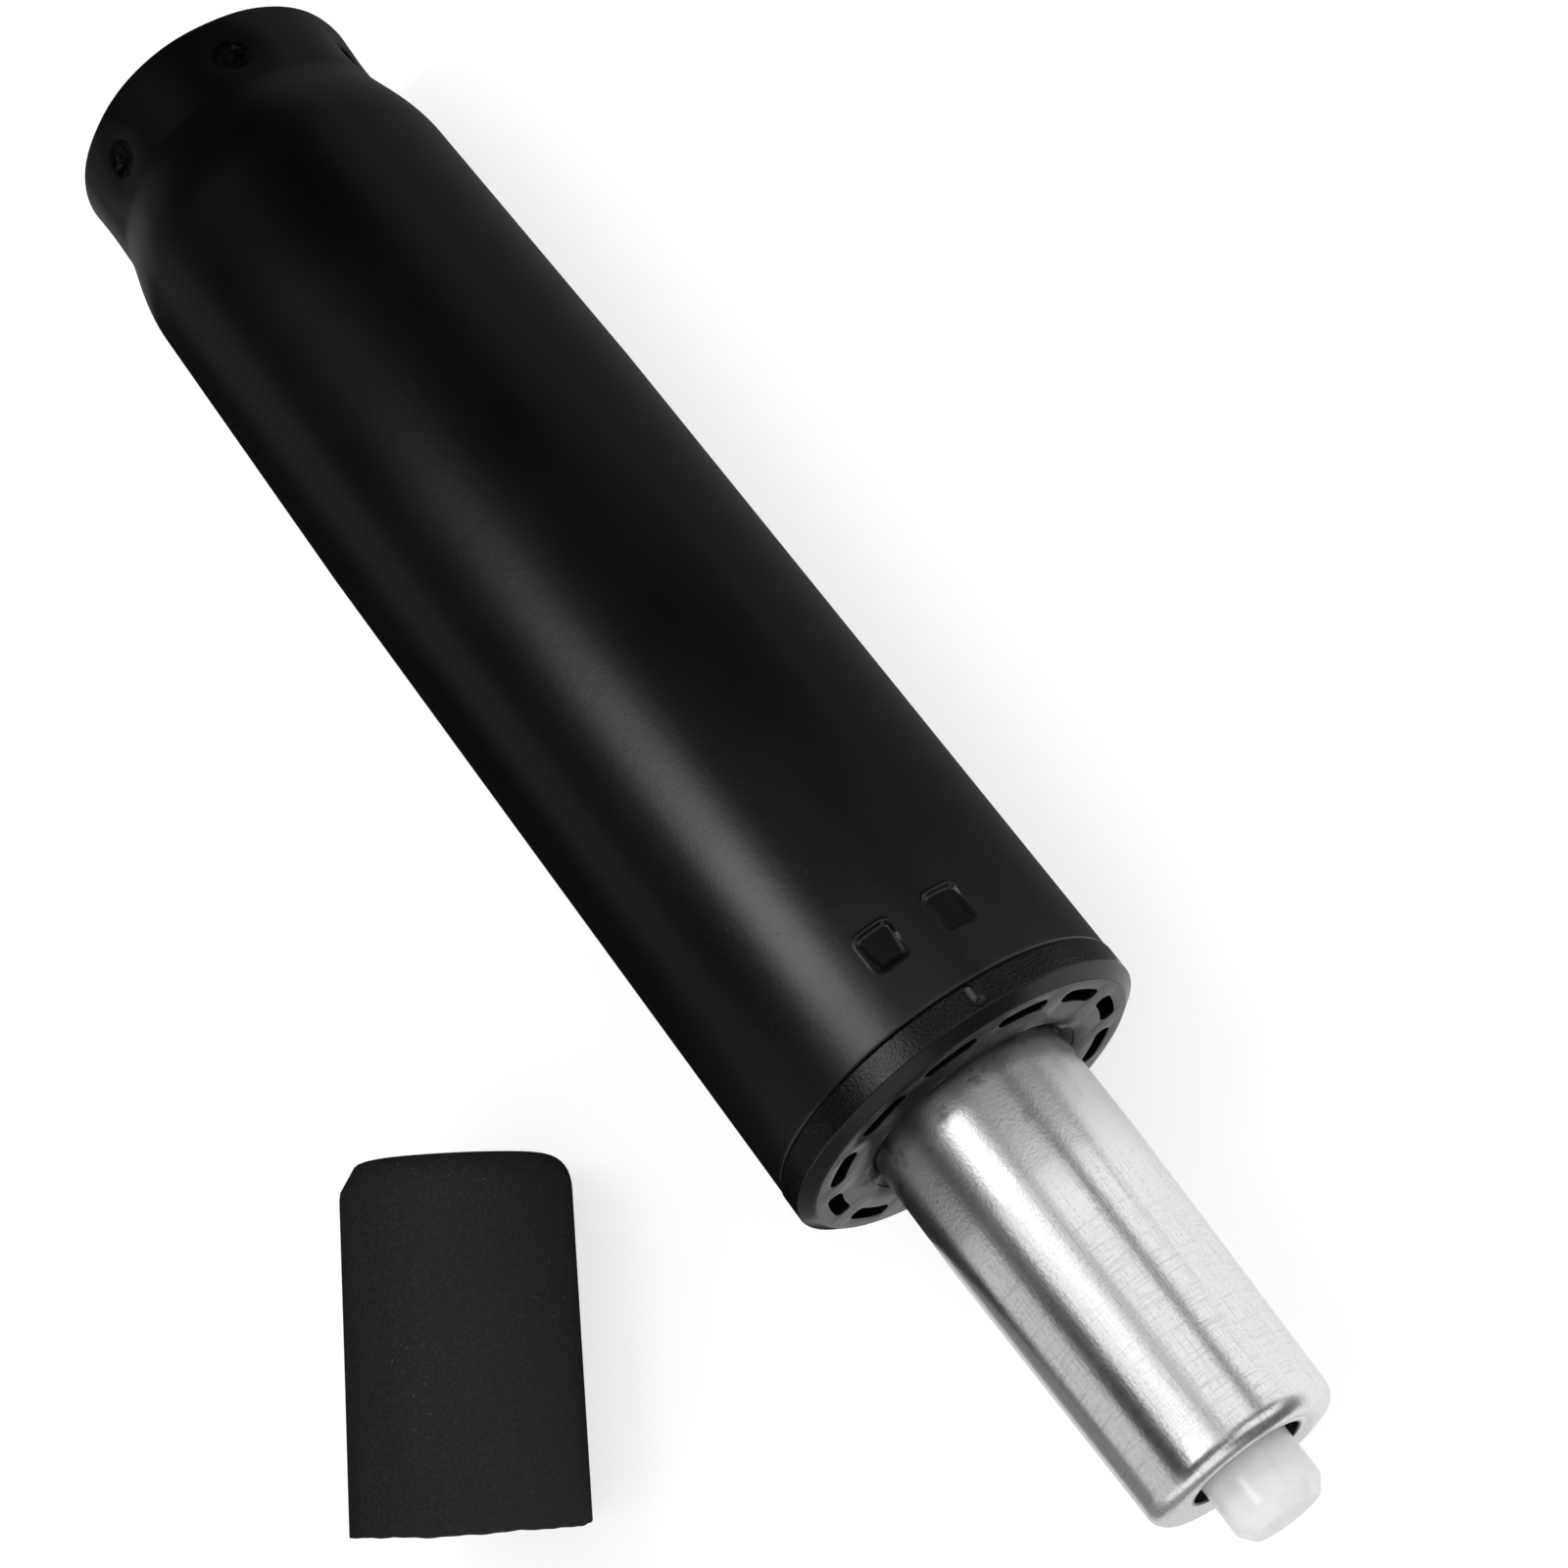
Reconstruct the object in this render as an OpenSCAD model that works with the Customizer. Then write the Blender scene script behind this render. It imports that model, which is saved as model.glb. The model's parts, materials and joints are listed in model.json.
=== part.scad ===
// Chair gas lift: a stand tube with a moulded guide bush, and inside it a lockable
// gas spring that swivels on a ball thrust bearing. A slip-on cap lies beside it.
// The column lies on its side: +X runs along its axis from the base rim to the
// release button, +Z is up, and the origin is the centre of the base rim.

/* [Stand tube] */
// Outside diameter of the stand tube
tube_d = 50; // [48:0.1:54]
// Length of the stand tube, base rim to mouth
tube_len = 179.4; // [172:0.1:200]
// Wall of the stand tube
tube_wall = 1.5; // [1.3:0.1:1.8]
// Outside diameter of the neck at the base end
neck_d = 43.7; // [42:0.1:46]
// Length of the straight neck
neck_len = 12; // [11:0.5:14]
// Length of the swage from the neck to the base taper
swage_len = 13.5; // [10:0.5:18]
// Length of the taper that wedges into a chair base
taper_len = 46.5; // [35:0.5:60]
// Half angle of that taper, in degrees
taper_angle = 0.95; // [0.6:0.05:1.2]

/* [Stakes and locks] */
// Stakes punched around the neck to hold the base plate
stake_count = 6; // [4:1:8]
// Diameter of one stake pit
stake_d = 3.4; // [2.5:0.1:4]
// Depth of one stake pit
stake_depth = 1.1; // [0.8:0.1:1.2]
// Distance of the stakes from the base rim
stake_at = 6.9; // [6.5:0.1:7.5]
// Length of one pressed lock pocket along the tube
lock_len = 6.4; // [5:0.1:8]
// Width of one lock pocket
lock_w = 5.6; // [4:0.1:6.5]
// Depth of a lock pocket at its stepped end
lock_depth = 1; // [0.7:0.1:1.1]
// Distance from the tube's mouth to the stepped end
lock_from_mouth = 12.8; // [11:0.1:16]
// Angle between the two pockets of a pair
lock_spread = 22.6; // [18:0.1:30]
// Angle of the pressed features from straight up
clocking = 38.1; // [0:0.1:60]

/* [Guide bush] */
// Step of the collar that caps the tube, out from the tube's side
collar_step = 0.15; // [0.05:0.05:1]
// Height of the collar above the tube's mouth
collar_h = 5.1; // [4.5:0.1:8]
// Height of the bevel around the collar's face
bevel_h = 1.3; // [0.8:0.1:2]
// Width of the bevel around the collar's face
bevel_w = 1.8; // [1:0.1:2.5]
// Length of the sleeve inside the tube
bush_len = 78; // [60:1:90]
// Wall of the inner sleeve that the gas spring slides in
sleeve_wall = 2.4; // [1.8:0.1:3]
// Wall of the outer shell that seats in the tube
shell_wall = 1.8; // [1.6:0.1:2]
// Thickness of the slotted face plate
face_t = 3; // [2:0.1:4]
// Ribs between sleeve and shell, and slots between the ribs
rib_count = 12; // [8:1:14]
// Thickness of one rib
rib_w = 2.2; // [1.5:0.1:2.6]
// Width of one slot
slot_w = 2.1; // [1.5:0.1:2.6]
// Length of one slot, end to end
slot_len = 7.5; // [5:0.1:8]
// Distance of the slots from the outer shell
slot_inset = 0.15; // [0.1:0.05:1]

/* [Gas spring] */
// Diameter of the pressure tube
spring_d = 28; // [27:0.1:28.5]
// Wall of the pressure tube
spring_wall = 2; // [1.6:0.1:2.2]
// Height of the pressure tube's end above the collar's face, when compressed
spring_reach = 54.7; // [50:0.1:70]
// Length of the cone that takes the seat plate
cone_len = 36.8; // [30:0.1:42]
// Half angle of that cone, in degrees
cone_angle = 1.438; // [1:0.001:1.6]
// Radius of the rolled-in end
roll_r = 2.4; // [1.8:0.1:3]
// Diameter of the hole in the rolled-in end
end_hole_d = 16.4; // [15:0.1:18]
// Travel of the gas spring
stroke = 100; // [80:1:108]
// Wall of the inner tube
inner_wall = 1; // [0.8:0.1:1.3]
// Width of the gas passage around the inner tube
passage = 1.2; // [0.8:0.1:1.5]
// Diameter of the piston rod
rod_d = 10; // [9:0.1:11]
// Length of the piston
piston_len = 12; // [9:0.5:14]

/* [Release valve] */
// Length of the valve body
valve_len = 30; // [26:0.5:34]
// Diameter of the release button
button_d = 12.2; // [11:0.1:13]
// Height of the button above the rolled-in end
button_reach = 7.4; // [6:0.1:10]
// Height of the bevel on the button's tip
button_bevel = 1.9; // [1:0.1:2.5]
// Travel of the button
press_travel = 4; // [2:0.1:4.5]
// Diameter of the valve pin
pin_d = 5; // [4:0.1:6]

/* [Base and bearing] */
// Distance of the base plate from the base rim
plate_at = 4.6; // [4.4:0.1:5]
// Thickness of the base plate
plate_t = 6; // [5.5:0.1:7]
// Thickness of one bearing race
race_t = 1.8; // [1.5:0.1:2.5]
// Outside diameter of the races
race_d = 24; // [22:0.5:28]
// Diameter of the bearing balls
ball_d = 3.5; // [3:0.1:4]
// Number of bearing balls
ball_count = 10; // [8:1:11]
// Diameter of the rod's turned-down foot
foot_d = 8; // [7:0.1:8.4]
// Length of the rubber bumper
bumper_len = 13; // [8:0.5:16]
// Diameter of the rubber bumper
bumper_d = 22; // [18:0.5:25]

/* [Cap] */
// Clearance of the cap around the gas spring
cap_fit = 0.4; // [0.2:0.1:0.8]
// Wall of the cap
cap_wall = 2.2; // [1.2:0.1:2.6]
// Length of the cap
cap_len = 49.6; // [44:0.1:56]
// Radius around the cap's closed end
cap_round = 5.1; // [3:0.1:7]
// Place of the cap's mouth along the column
cap_x = 176.5; // [150:0.1:230]
// Distance of the cap's mouth from the column's axis
cap_y = -96.2; // [-130:0.1:-85]
// Direction that the cap's closed end points, from +X
cap_heading = 144.1; // [130:0.1:180]

/* [Hidden] */
$fn = 96;

// Clearances
seat_gap = 0.05;      // between pieces that seat in each other
slide_gap = 0.06;     // radial, between pieces that slide or turn in each other
face_gap = 0.2;       // axial, between faces that turn on each other
free_gap = 0.4;       // between pieces that pass each other
loose_gap = 0.15;     // radial, around the button and inside the bumper
eps = 0.2;            // reach of a cut past a face
edge = 0.4;           // small edge break

// Stand tube
tube_r = tube_d / 2;
tube_in_r = tube_r - tube_wall;
neck_r = neck_d / 2;
neck_in_r = neck_r - tube_wall;
taper_x = neck_len + swage_len;
taper_small_r = tube_r - taper_len * tan(taper_angle);
swage_ease = 0.75;    // how early the swage flares out
swage_steps = 9;
dent_r = 16;          // radius of the soft dent around a stake
dent_depth = 0.45;
nub_rise = 0.8;       // how far a stake stands into the plate's groove
nub_margin = 0.5;     // how much wider the nub is than its pit
lock_lip = 0.25;      // depth of a lock pocket at its shallow end
lock_round = 0.7;
lock_rim = 0.5;       // how much larger the tab inside is than its pocket
lock_x = tube_len - lock_from_mouth;
lock_ramp = atan((lock_depth - lock_lip) / lock_len);
lock_angles = [for (side = [0, 180], half = [-1, 1]) side + half * lock_spread / 2];

// Guide bush
collar_r = tube_r + collar_step;
face_x = tube_len + collar_h;
face_r = collar_r - bevel_w;
shell_r = tube_in_r - seat_gap;
shell_in_r = shell_r - shell_wall;
bush_bore_r = spring_d / 2 + slide_gap;
sleeve_r = bush_bore_r + sleeve_wall;
bush_x = tube_len - bush_len;
bush_lead = 1;        // lead-in bevels of the bush
bore_bevel_w = 1.3;
bore_bevel_h = 0.8;
slot_r = shell_in_r - slot_inset - slot_w / 2;
slot_angle = (slot_len - slot_w) / slot_r * 180 / PI;
key_w = 1.8;          // small raised key on the collar's side
key_len = 3.2;
key_rise = 0.35;
floor_z = -collar_r;

// Base plate and thrust bearing
foot_r = foot_d / 2;
foot_bore_r = foot_r + slide_gap;
plate_r = neck_in_r - seat_gap;
plate_top = plate_at + plate_t;
plate_bore_r = foot_r + free_gap;
groove_half = stake_d / 2 + nub_margin + seat_gap;
ball_r = ball_d / 2;
ball_sink = 0.45;     // depth of a ball in each race
race_r = race_d / 2;
race_gap = ball_d - 2 * ball_sink;
ball_x = plate_top + race_t + race_gap / 2;
upper_race_x = plate_top + race_t + race_gap;
shoulder_x = upper_race_x + race_t;
ball_pitch_r = (foot_r + race_r) / 2;
track_r = ball_r + slide_gap;
cage_t = race_gap - 2 * free_gap;
cage_rim = 1.2;       // cage width outside the balls
washer_t = 1.2;
clip_t = 1;
clip_x = plate_at - face_gap - washer_t - clip_t;
clip_groove_depth = 0.8;
clip_rim = 3;         // how far the clip stands out from the foot
clip_bite = 0.5;      // how far the clip's jaws close behind the foot
clip_lobe_d = 2.2;
clip_lobe_at = 115;   // angle of the clip's side openings
clip_groove_r = foot_r - clip_groove_depth;
clip_r = foot_r + clip_rim;
clip_slot = 2 * (clip_groove_r - clip_bite);
washer_rim = 1.5;     // how far the washer stands out from the clip
foot_end = 1;         // foot below the clip
rod_tail = clip_x - foot_end;

// Bumper
rod_r = rod_d / 2;
rod_fit_r = rod_r + slide_gap;
bumper_x = shoulder_x + washer_t;
bumper_bore_r = rod_r + loose_gap;
bumper_rim = 0.5;     // how far its washer stands out from the bumper
bumper_waist = 0.9;   // depth of the bumper's waist
spring_x = bumper_x + bumper_len + free_gap;

// Pressure tube
spring_r = spring_d / 2;
spring_in_r = spring_r - spring_wall;
spring_top = face_x + spring_reach;
cone_end = spring_top - roll_r;
cone_x = cone_end - cone_len;
cone_small_r = spring_r - cone_len * tan(cone_angle);
end_hole_r = end_hole_d / 2;
foot_roll = 2;        // radius of the rolled-in lower end
lip_t = 2;
lip_gap = 2.5;        // between the lower lip and the rod
lip_hole_r = rod_r + lip_gap;

// Rod guide and seal, stacked on the lower lip
pack_r = spring_in_r - seat_gap;
seal_washer_x = spring_x + lip_t;
seal_washer_t = 2;
rod_seal_x = seal_washer_x + seal_washer_t;
rod_seal_t = 7;
wiper_t = 1.5;        // length of one wiping lip of the rod's seal
wiper_waist = 1.2;    // depth of the waist between the lips
guide_x = rod_seal_x + rod_seal_t;
guide_t = 14;
spigot_t = 4;         // spigots that centre the inner tube
guide_shoulder = guide_x + guide_t;
guide_top = guide_shoulder + spigot_t;
inner_r = spring_in_r - passage;
inner_bore_r = inner_r - inner_wall;
spigot_r = inner_bore_r - seat_gap;

// Piston
piston_x = guide_top + stroke + free_gap;
seal_proud = 0.1;     // how far the seal stands out of the piston
piston_seal_r = inner_bore_r - slide_gap;
piston_r = piston_seal_r - seal_proud;
tail_step = 1.5;      // step down to the rod end that carries the piston
tail_r = rod_r - tail_step;
tail_bore_r = tail_r + seat_gap;
seal_w = 2.4;         // width and depth of the piston's seal
seal_depth = 1.6;
piston_top = piston_x + piston_len;
nut_t = 5;
nut_r = 6.5;
tail_end = 1;         // rod above the nut
rod_top = piston_top + nut_t + tail_end;

// Valve
valve_top = spring_top - spring_wall - seat_gap;
valve_x = valve_top - valve_len;
valve_shoulder = valve_x + spigot_t;
button_r = button_d / 2;
button_bore_r = button_r + loose_gap;
button_bore_t = 12;   // depth of the button's guide in the valve body
tip_step = 1.5;       // width of the bevel on the button's tip
button_tip_r = button_r - tip_step;
button_top = spring_top + button_reach;
button_bore_x = valve_top - button_bore_t;
button_x = button_bore_x + press_travel + free_gap;
pin_r = pin_d / 2;
pin_bore_r = pin_r + slide_gap;
pin_head_step = 1.6;
pin_head_r = pin_r + pin_head_step;
pin_head_t = 3;
chamber_r = pin_head_r + free_gap;
chamber_t = 8;        // gas chamber around the pin's head
pin_head_x = valve_x + chamber_t - pin_head_t - free_gap;
o_ring_d = 2;         // thickness of the O-rings
o_ring_at = [9, 15];  // places of the outer O-rings, from the valve's lower end
pin_ring_at = 12;     // place of the pin's O-ring

// Cap
cap_mouth_r = spring_r + cap_fit + cap_wall;
cap_end_r = cone_small_r + cap_fit + cap_wall;
cap_tilt = atan((cap_mouth_r - cap_end_r) / cap_len);
cap_lip = 0.4;        // edge break of the cap's mouth

// Points of an arc about [x, y] from angle a0 to a1
function arc(x, y, r, a0, a1, steps = 6) = [
    for (i = [0 : steps]) let (a = a0 + (a1 - a0) * i / steps) [x + r * cos(a), y + r * sin(a)]
];

// Outside radius of the swage at the share t of its length
function swage_r(t) =
    neck_r + (taper_small_r - neck_r) * (1 - cos(180 * pow(t, swage_ease))) / 2;

// Swage outline, moved inwards by inset
function swage(inset) = [
    for (i = [0 : swage_steps]) let (t = i / swage_steps) [swage_r(t) - inset, neck_len + swage_len * t]
];

function reversed(points) = [for (i = [len(points) - 1 : -1 : 0]) points[i]];

// Inside radius of the pressure tube's cone at the place x
function cone_bore_r(x) = spring_in_r - max(0, x - cone_x) * tan(cone_angle);

// Lays a piece that is drawn along +Z on the column's axis, with its angle 0 at the clocking
module lay() {
    rotate([0, 90, 0]) rotate(180 - clocking) children();
}

module ring(r_in, r_out, x, t) {
    translate([0, 0, x]) rotate_extrude() translate([r_in, 0]) square([r_out - r_in, t]);
}

module revolve(points) {
    rotate_extrude() polygon(points);
}

module torus(pitch_r, ring_r, x) {
    translate([0, 0, x]) rotate_extrude() translate([pitch_r, 0]) circle(ring_r, $fn = 48);
}

module rounded_rect(length, width, r) {
    square([length - 2 * r, width], center = true);
    square([length, width - 2 * r], center = true);
    for (sx = [-1, 1], sy = [-1, 1])
        translate([sx * (length / 2 - r), sy * (width / 2 - r)]) circle(r, $fn = 32);
}

// One stake's place: its axis points out of the neck
module at_stakes() {
    for (i = [0 : stake_count - 1])
        rotate(i * 360 / stake_count) translate([0, 0, stake_at]) rotate([0, 90, 0]) children();
}

// One lock pocket's floor: Z runs up the ramp to the mouth, X points outwards
module at_lock(angle) {
    rotate(angle) translate([tube_r - lock_depth, 0, lock_x]) rotate([0, lock_ramp, 0]) children();
}

// Prism over a lock pocket's floor, grown by margin, from x0 to x1 above the floor
module lock_prism(margin, x0, x1) {
    translate([x0, 0, lock_len / 2]) rotate([0, 90, 0])
        linear_extrude(x1 - x0) rounded_rect(lock_len + 2 * margin, lock_w + 2 * margin, lock_round);
}

module outer_tube() color("#1a1b1d") lay() difference() {
    union() {
        revolve(concat(
            [[neck_r - edge, 0]],
            [[neck_r, edge]],
            swage(0),
            [[tube_r, taper_x + taper_len], [tube_r, tube_len], [tube_in_r, tube_len]],
            [[tube_in_r, taper_x + taper_len]],
            reversed(swage(tube_wall)),
            [[neck_in_r, 0]]
        ));
        at_stakes() translate([0, 0, neck_in_r - nub_rise])
            cylinder(h = nub_rise + tube_wall / 2, r1 = stake_d / 2, r2 = stake_d / 2 + nub_margin);
        for (angle = lock_angles) intersection() {
            at_lock(angle) lock_prism(lock_rim, -tube_wall, 0);
            translate([0, 0, lock_x - lock_len]) cylinder(h = 3 * lock_len, r = tube_in_r + tube_wall / 3);
        }
    }
    at_stakes() translate([0, 0, neck_r - stake_depth])
        cylinder(h = stake_depth + edge, r1 = stake_d / 4, r2 = stake_d / 2 + edge / 2);
    at_stakes() translate([0, 0, neck_r + dent_r - dent_depth]) sphere(dent_r);
    for (angle = lock_angles) at_lock(angle) lock_prism(0, 0, 2 * lock_depth);
}

// Drawn as one section: inner sleeve, slotted face and outer shell, then ribs between them
module guide_bush() color("#2a2b2d") lay() difference() {
    union() {
        revolve([
            [bush_bore_r + bush_lead, bush_x], [sleeve_r, bush_x],
            [sleeve_r, face_x - face_t], [shell_in_r, face_x - face_t],
            [shell_in_r, bush_x], [shell_r - bush_lead, bush_x], [shell_r, bush_x + bush_lead],
            [shell_r, tube_len], [collar_r, tube_len], [collar_r, face_x - bevel_h],
            [face_r + edge, face_x - edge / 3], [face_r, face_x],
            [bush_bore_r + bore_bevel_w, face_x], [bush_bore_r, face_x - bore_bevel_h],
            [bush_bore_r, bush_x + bush_lead]
        ]);
        for (i = [0 : rib_count - 1]) rotate(i * 360 / rib_count)
            translate([sleeve_r - eps, -rib_w / 2, bush_x + bush_lead])
                cube([shell_in_r - sleeve_r + 2 * eps, rib_w, face_x - face_t / 2 - bush_x - bush_lead]);
        collar_key();
    }
    for (i = [0 : rib_count - 1]) rotate((i + 0.5) * 360 / rib_count) face_slot();
    for (angle = lock_angles) at_lock(angle)
        lock_prism(lock_rim + free_gap, -tube_wall - free_gap, 2 * lock_depth);
}

module collar_key() {
    translate([collar_r - edge, -key_w / 2, tube_len]) cube([edge + key_rise, key_w, key_len - key_w / 2]);
    translate([collar_r - edge, 0, tube_len + key_len - key_w / 2])
        rotate([0, 90, 0]) cylinder(h = edge + key_rise, d = key_w, $fn = 32);
}

module face_slot() {
    translate([0, 0, face_x - face_t - eps]) {
        rotate(-slot_angle / 2) rotate_extrude(angle = slot_angle)
            translate([slot_r - slot_w / 2, 0]) square([slot_w, face_t + 2 * eps]);
        for (side = [-1, 1]) rotate(side * slot_angle / 2) translate([slot_r, 0, 0])
            cylinder(h = face_t + 2 * eps, d = slot_w, $fn = 32);
    }
}

module base_plate() color("#8d9094") lay() revolve([
    [plate_bore_r, plate_at], [plate_r - edge, plate_at], [plate_r, plate_at + edge],
    [plate_r, stake_at - groove_half], [plate_r - nub_rise - seat_gap, stake_at - stake_d / 2 - seat_gap],
    [plate_r - nub_rise - seat_gap, stake_at + stake_d / 2 + seat_gap], [plate_r, stake_at + groove_half],
    [plate_r, plate_top], [plate_bore_r, plate_top]
]);

module lower_race() color("#b9bdc2") lay() difference() {
    ring(plate_bore_r, race_r, plate_top, race_t);
    torus(ball_pitch_r, track_r, ball_x);
}

module upper_race() color("#b9bdc2") lay() difference() {
    ring(foot_bore_r, race_r, upper_race_x, race_t);
    torus(ball_pitch_r, track_r, ball_x);
}

module at_balls() {
    for (i = [0 : ball_count - 1])
        rotate(i * 360 / ball_count) translate([ball_pitch_r, 0, ball_x]) children();
}

module ball_cage() color("#3c5a45") lay() difference() {
    ring(ball_pitch_r - ball_r - cage_rim, ball_pitch_r + ball_r + cage_rim, ball_x - cage_t / 2, cage_t);
    at_balls() cylinder(h = cage_t + eps, r = track_r, center = true);
}

module bearing_balls() color("#d5d8dc") lay() at_balls() sphere(ball_r);

// Turned rod: clip groove and foot below, shoulder on the bearing, piston tail above
module piston_rod() color("#c4c8cc") lay() revolve([
    [0, rod_tail], [foot_r - edge, rod_tail], [foot_r, rod_tail + edge],
    [foot_r, clip_x], [clip_groove_r, clip_x], [clip_groove_r, clip_x + clip_t], [foot_r, clip_x + clip_t],
    [foot_r, shoulder_x], [rod_r, shoulder_x], [rod_r, piston_x],
    [tail_r, piston_x], [tail_r, rod_top - edge], [tail_r - edge, rod_top], [0, rod_top]
]);

module clip_washer() color("#9a9ea3") lay()
    ring(foot_bore_r, clip_r + washer_rim, clip_x + clip_t, washer_t);

// E-shaped clip: three lobes bite in the rod's groove
module retaining_clip() color("#5b5f64") lay() difference() {
    ring(clip_groove_r + seat_gap, clip_r, clip_x, clip_t);
    translate([0, -clip_slot / 2, clip_x - eps]) cube([clip_r + eps, clip_slot, clip_t + 2 * eps]);
    for (side = [-1, 1]) rotate(side * clip_lobe_at) translate([clip_groove_r + clip_lobe_d / 2, 0, clip_x - eps])
        cylinder(h = clip_t + 2 * eps, d = clip_lobe_d, $fn = 32);
}

module bumper_washer() color("#9a9ea3") lay()
    ring(rod_fit_r, bumper_d / 2 + bumper_rim, shoulder_x, washer_t);

module rubber_bumper() color("#202022") lay() revolve([
    [bumper_bore_r, bumper_x], [bumper_d / 2, bumper_x], [bumper_d / 2, bumper_x + bumper_len / 4],
    [bumper_d / 2 - bumper_waist, bumper_x + bumper_len / 2],
    [bumper_d / 2, bumper_x + bumper_len * 3 / 4], [bumper_d / 2, bumper_x + bumper_len - 2 * edge],
    [bumper_d / 2 - 2 * edge, bumper_x + bumper_len], [bumper_bore_r, bumper_x + bumper_len]
]);

module piston() color("#a7abb0") lay() difference() {
    revolve([
        [tail_bore_r, piston_x], [piston_r - edge, piston_x], [piston_r, piston_x + edge],
        [piston_r, piston_top - edge], [piston_r - edge, piston_top], [tail_bore_r, piston_top]
    ]);
    ring(piston_seal_r - seal_depth - seat_gap, piston_r + eps,
        piston_x + (piston_len - seal_w) / 2 - seat_gap, seal_w + 2 * seat_gap);
}

module piston_seal() color("#1d1d1f") lay()
    ring(piston_seal_r - seal_depth, piston_seal_r, piston_x + (piston_len - seal_w) / 2, seal_w);

module piston_nut() color("#b0b4b8") lay() difference() {
    translate([0, 0, piston_top]) cylinder(h = nut_t, r = nut_r, $fn = 6);
    translate([0, 0, piston_top - eps]) cylinder(h = nut_t + 2 * eps, r = tail_bore_r);
}

// Section of the pressure tube: rolled lower lip, straight wall, seat cone, rolled end
module pressure_tube() color("#c9ccd0") lay() revolve(concat(
    [[lip_hole_r, spring_x]],
    arc(spring_r - foot_roll, spring_x + foot_roll, foot_roll, -90, 0),
    [[spring_r, cone_x]],
    arc(cone_small_r - roll_r, cone_end, roll_r, 0, 90),
    [[end_hole_r + edge, spring_top], [end_hole_r, spring_top - edge], [end_hole_r, spring_top - spring_wall]],
    [[cone_bore_r(spring_top - spring_wall), spring_top - spring_wall], [spring_in_r, cone_x]],
    [[spring_in_r, spring_x + lip_t], [lip_hole_r, spring_x + lip_t]]
));

module inner_tube() color("#b4b8bd") lay()
    ring(inner_bore_r, inner_r, guide_shoulder, valve_shoulder - guide_shoulder);

module seal_washer() color("#9a9ea3") lay()
    ring(rod_r + free_gap, pack_r, seal_washer_x, seal_washer_t);

// Lip seal: two wiping lips with a waist between them
module rod_seal() color("#26262a") lay() revolve([
    [rod_fit_r, rod_seal_x], [pack_r, rod_seal_x], [pack_r, guide_x],
    [rod_fit_r, guide_x], [rod_fit_r, guide_x - wiper_t],
    [rod_fit_r + wiper_waist, rod_seal_x + rod_seal_t / 2], [rod_fit_r, rod_seal_x + wiper_t]
]);

module rod_guide() color("#3a3f46") lay() revolve([
    [rod_fit_r, guide_x], [pack_r, guide_x], [pack_r, guide_shoulder],
    [spigot_r, guide_shoulder], [spigot_r, guide_top], [rod_fit_r, guide_top]
]);

// Valve body: spigot in the inner tube, body in the cone, button guide, pin bore and gas chamber
module valve_body() color("#6f747a") lay() difference() {
    revolve([
        [0, valve_x], [spigot_r, valve_x], [spigot_r, valve_shoulder],
        [cone_bore_r(valve_shoulder) - seat_gap, valve_shoulder],
        [cone_bore_r(valve_top) - seat_gap, valve_top], [0, valve_top]
    ]);
    translate([0, 0, valve_x - eps]) cylinder(h = valve_len + 2 * eps, r = pin_bore_r);
    translate([0, 0, valve_x - eps]) cylinder(h = chamber_t + eps, r = chamber_r);
    translate([0, 0, button_bore_x]) cylinder(h = button_bore_t + eps, r = button_bore_r);
    for (at = o_ring_at) o_ring_groove(valve_x + at);
    ring(pin_bore_r - eps, pin_bore_r + o_ring_d, valve_x + pin_ring_at - o_ring_d / 2, o_ring_d);
}

module o_ring_groove(x) {
    bore = cone_bore_r(x + o_ring_d);
    ring(bore - o_ring_d - seat_gap, bore + o_ring_d, x - o_ring_d / 2 - seat_gap, o_ring_d + 2 * seat_gap);
}

module valve_o_rings() color("#1d1d1f") lay() for (at = o_ring_at) {
    x = valve_x + at;
    torus(cone_bore_r(x + o_ring_d) - seat_gap - o_ring_d / 2, o_ring_d / 2 - seat_gap, x);
}

module pin_o_ring() color("#1d1d1f") lay()
    torus(pin_bore_r + o_ring_d / 2, o_ring_d / 2 - seat_gap, valve_x + pin_ring_at);

module release_button() color("#e9e8e0") lay() revolve([
    [0, button_x], [button_r - edge, button_x], [button_r, button_x + edge],
    [button_r, button_top - button_bevel], [button_tip_r, button_top], [0, button_top]
]);

// Pin: sealing head in the gas chamber, stem up to the button
module valve_pin() color("#b0b4b8") lay() revolve([
    [0, pin_head_x], [pin_head_r - edge, pin_head_x], [pin_head_r, pin_head_x + edge],
    [pin_head_r, pin_head_x + pin_head_t - edge], [pin_r, pin_head_x + pin_head_t],
    [pin_r, button_x], [0, button_x]
]);

// Cap drawn along +Z from its mouth, then laid on its side beside the column
module protective_cap() color("#2b2b2c")
    translate([cap_x, cap_y, floor_z]) rotate(cap_heading) rotate([0, 90 + cap_tilt, 0])
        translate([-cap_mouth_r, 0, 0]) revolve(concat(
            [[cap_mouth_r - cap_wall + cap_lip, 0], [cap_mouth_r - cap_lip, 0], [cap_mouth_r, cap_lip]],
            arc(cap_end_r - cap_round, cap_len - cap_round, cap_round, 0, 90),
            [[0, cap_len], [0, cap_len - cap_wall]],
            reversed(arc(cap_end_r - cap_round, cap_len - cap_round, cap_round - cap_wall, 0, 90)),
            [[cap_mouth_r - cap_wall, cap_lip]]
        ));

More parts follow.
